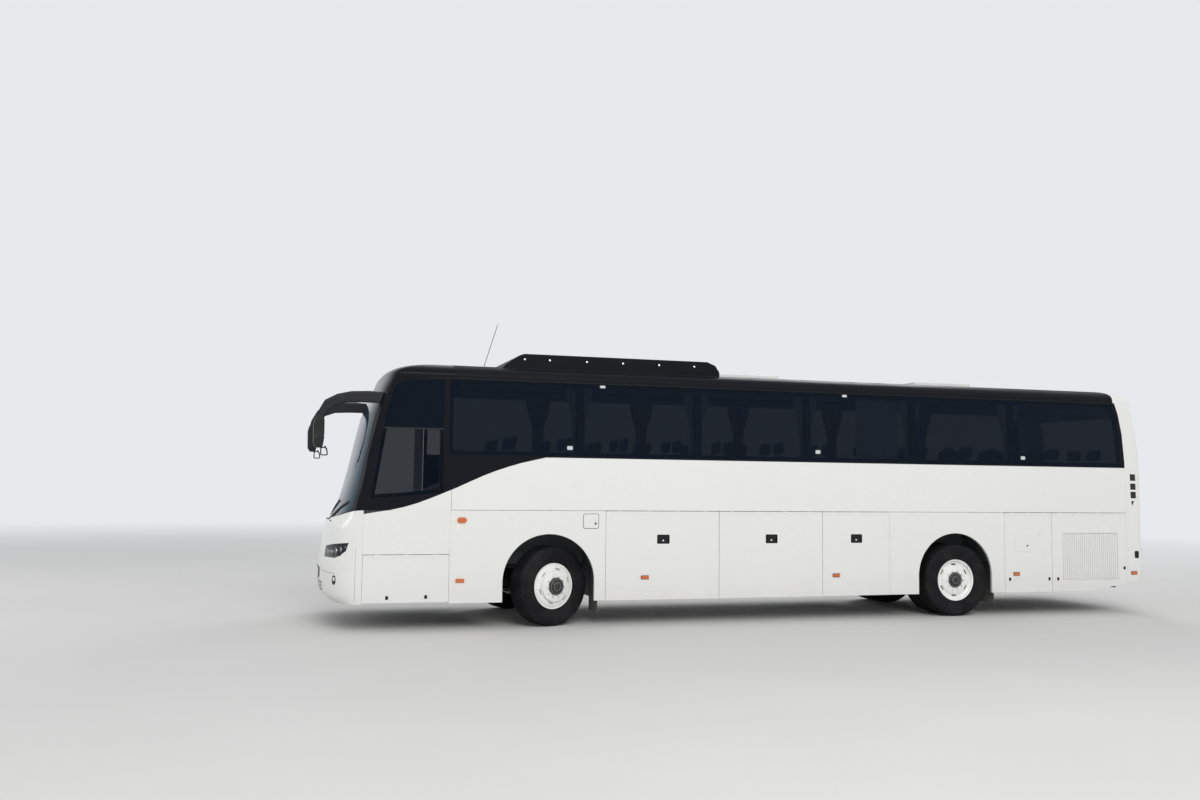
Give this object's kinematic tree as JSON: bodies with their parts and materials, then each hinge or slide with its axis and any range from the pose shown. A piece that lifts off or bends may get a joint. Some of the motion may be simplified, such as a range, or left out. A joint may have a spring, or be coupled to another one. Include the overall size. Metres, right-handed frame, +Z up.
{
  "type": "airport passenger bus",
  "caption": "Single-deck passenger bus with a raised cabin over a luggage hold, rear engine, side flaps, outward-swinging doors, steered front wheels and twin rear wheels.",
  "frame": {"origin": "on the ground in the middle of the bus's length and width", "axes": "-X towards the nose, -Y towards the driver's side, +Z up"},
  "size_m": [12.62, 2.6626, 4.0684],
  "materials": {
    "white_paint": "gloss",
    "black_paint": "gloss",
    "side_glass": "smooth",
    "screen_glass": "smooth",
    "lamp_glass": "smooth",
    "red_lens": "gloss",
    "orange_lens": "gloss",
    "black_plastic": "satin",
    "roof_vent": "satin",
    "dark_steel": "satin",
    "engine_iron": "rough",
    "floor_grey": "matte",
    "hold_metal": "satin",
    "seat_fabric": "matte",
    "curtain_fabric": "matte",
    "rack_plastic": "satin",
    "flap_rubber": "matte",
    "tyre_rubber": "matte",
    "rim_paint": "gloss"
  },
  "bodies": {
    "body": {"underframe": "dark_steel", "cabin_floor": "floor_grey", "luggage_hold": "hold_metal", "lower_sides": "white_paint", "waist_panels": "white_paint", "window_bands": "black_paint", "side_glass": "side_glass", "roof_shell": "black_paint", "nose_frame": "black_paint", "windscreen": "screen_glass", "front_panel": "white_paint", "front_bumper": "white_paint", "headlamps": "lamp_glass", "tail_shell": "white_paint", "rear_window": "side_glass", "tail_lamps": "red_lens", "rear_bumper": "white_paint", "air_conditioner": "black_paint", "roof_hatches": "roof_vent", "mirrors": "black_plastic", "wipers": "black_plastic", "front_axle": "dark_steel", "rear_axle": "dark_steel", "engine": "engine_iron", "seats": "seat_fabric", "dashboard": "black_plastic", "steering_wheel": "black_plastic", "luggage_racks": "rack_plastic", "curtains": "curtain_fabric", "mud_flaps": "flap_rubber", "marker_lamps": "orange_lens", "hatch_hinges": "dark_steel", "antenna": "black_plastic"},
    "knuckle_left": {"knuckle_left": "dark_steel"},
    "knuckle_right": {"knuckle_right": "dark_steel"},
    "wheel_front_left": {"tyre_front_left": "tyre_rubber", "rim_front_left": "rim_paint"},
    "wheel_front_right": {"tyre_front_right": "tyre_rubber", "rim_front_right": "rim_paint"},
    "wheels_rear_left": {"tyres_rear_left": "tyre_rubber", "rims_rear_left": "rim_paint"},
    "wheels_rear_right": {"tyres_rear_right": "tyre_rubber", "rims_rear_right": "rim_paint"},
    "service_flap": {"service_flap": "white_paint"},
    "luggage_door_1": {"luggage_door_1": "white_paint"},
    "luggage_door_2": {"luggage_door_2": "white_paint"},
    "luggage_door_3": {"luggage_door_3": "white_paint"},
    "rear_flap_left": {"rear_flap_left": "white_paint"},
    "engine_flap_left": {"engine_flap_left": "white_paint"},
    "luggage_door_4": {"luggage_door_4": "white_paint"},
    "luggage_door_5": {"luggage_door_5": "white_paint"},
    "engine_flap_right": {"engine_flap_right": "white_paint"},
    "engine_lid": {"engine_lid": "white_paint"},
    "front_door_arm": {"front_door_arm": "dark_steel"},
    "mid_door_arm": {"mid_door_arm": "dark_steel"},
    "front_door": {"front_door": "white_paint", "front_door_glass": "side_glass"},
    "mid_door": {"mid_door": "white_paint", "mid_door_glass": "side_glass"}
  },
  "joints": [
    {"name": "steer_left", "type": "hinge", "parent": "body", "child": "knuckle_left", "pos_m": [-3.295, -0.865, 0.522], "axis": [0, 0, 1], "range_deg": [-65, 25]},
    {"name": "steer_right", "type": "hinge", "parent": "body", "child": "knuckle_right", "pos_m": [-3.295, 0.865, 0.522], "axis": [0, 0, 1], "range_deg": [-65, 25]},
    {"name": "front_left_spin", "type": "hinge", "parent": "knuckle_left", "child": "wheel_front_left", "pos_m": [-3.23344, -1.03414, 0.522], "axis": [0.342, -0.9397, 0], "continuous": true},
    {"name": "front_right_spin", "type": "hinge", "parent": "knuckle_right", "child": "wheel_front_right", "pos_m": [-3.35656, 1.03414, 0.522], "axis": [0.342, -0.9397, 0], "continuous": true},
    {"name": "rear_left_spin", "type": "hinge", "parent": "body", "child": "wheels_rear_left", "pos_m": [2.87, -1.085, 0.522], "axis": [0, -1, 0], "continuous": true},
    {"name": "rear_right_spin", "type": "hinge", "parent": "body", "child": "wheels_rear_right", "pos_m": [2.87, 1.085, 0.522], "axis": [0, -1, 0], "continuous": true},
    {"name": "service_flap_hinge", "type": "hinge", "parent": "body", "child": "service_flap", "pos_m": [-5.1335, -1.27, 0.944], "axis": [-1, 0, 0], "range_deg": [0, 90]},
    {"name": "luggage_door_1_hinge", "type": "hinge", "parent": "body", "child": "luggage_door_1", "pos_m": [-1.708, -1.27, 1.502], "axis": [-1, 0, 0], "range_deg": [0, 90]},
    {"name": "luggage_door_2_hinge", "type": "hinge", "parent": "body", "child": "luggage_door_2", "pos_m": [-0.114, -1.27, 1.502], "axis": [-1, 0, 0], "range_deg": [0, 90]},
    {"name": "luggage_door_3_hinge", "type": "hinge", "parent": "body", "child": "luggage_door_3", "pos_m": [1.205, -1.27, 1.502], "axis": [-1, 0, 0], "range_deg": [0, 90]},
    {"name": "rear_flap_left_hinge", "type": "hinge", "parent": "body", "child": "rear_flap_left", "pos_m": [4.086, -1.27, 1.502], "axis": [-1, 0, 0], "range_deg": [0, 90]},
    {"name": "engine_flap_left_hinge", "type": "hinge", "parent": "body", "child": "engine_flap_left", "pos_m": [5.178, -1.27, 1.502], "axis": [-1, 0, 0], "range_deg": [0, 90]},
    {"name": "luggage_door_4_hinge", "type": "hinge", "parent": "body", "child": "luggage_door_4", "pos_m": [-1.708, 1.27, 1.502], "axis": [1, 0, 0], "range_deg": [0, 90]},
    {"name": "luggage_door_5_hinge", "type": "hinge", "parent": "body", "child": "luggage_door_5", "pos_m": [-0.114, 1.27, 1.502], "axis": [1, 0, 0], "range_deg": [0, 90]},
    {"name": "engine_flap_right_hinge", "type": "hinge", "parent": "body", "child": "engine_flap_right", "pos_m": [5.178, 1.27, 1.502], "axis": [1, 0, 0], "range_deg": [0, 90]},
    {"name": "engine_lid_hinge", "type": "hinge", "parent": "body", "child": "engine_lid", "pos_m": [6.27525, 0, 1.914], "axis": [0, -1, 0], "range_deg": [0, 80]},
    {"name": "front_door_swing", "type": "hinge", "parent": "body", "child": "front_door_arm", "pos_m": [-5.45, 1.085, 1.13], "axis": [0, 0, 1], "range_deg": [0, 110]},
    {"name": "front_door_leaf", "type": "hinge", "parent": "front_door_arm", "child": "front_door", "pos_m": [-4.89, 1.085, 1.13], "axis": [0, 0, 1], "range_deg": [-110, 0]},
    {"name": "mid_door_swing", "type": "hinge", "parent": "body", "child": "mid_door_arm", "pos_m": [1.5, 1.085, 1.13], "axis": [0, 0, -1], "range_deg": [0, 110]},
    {"name": "mid_door_leaf", "type": "hinge", "parent": "mid_door_arm", "child": "mid_door", "pos_m": [0.94, 1.085, 1.13], "axis": [0, 0, -1], "range_deg": [-110, 0]}
  ],
  "couplings": [
    {"joint": "steer_right", "follows": "steer_left", "ratio": 1},
    {"joint": "front_door_leaf", "follows": "front_door_swing", "ratio": -1},
    {"joint": "mid_door_leaf", "follows": "mid_door_swing", "ratio": -1}
  ]
}
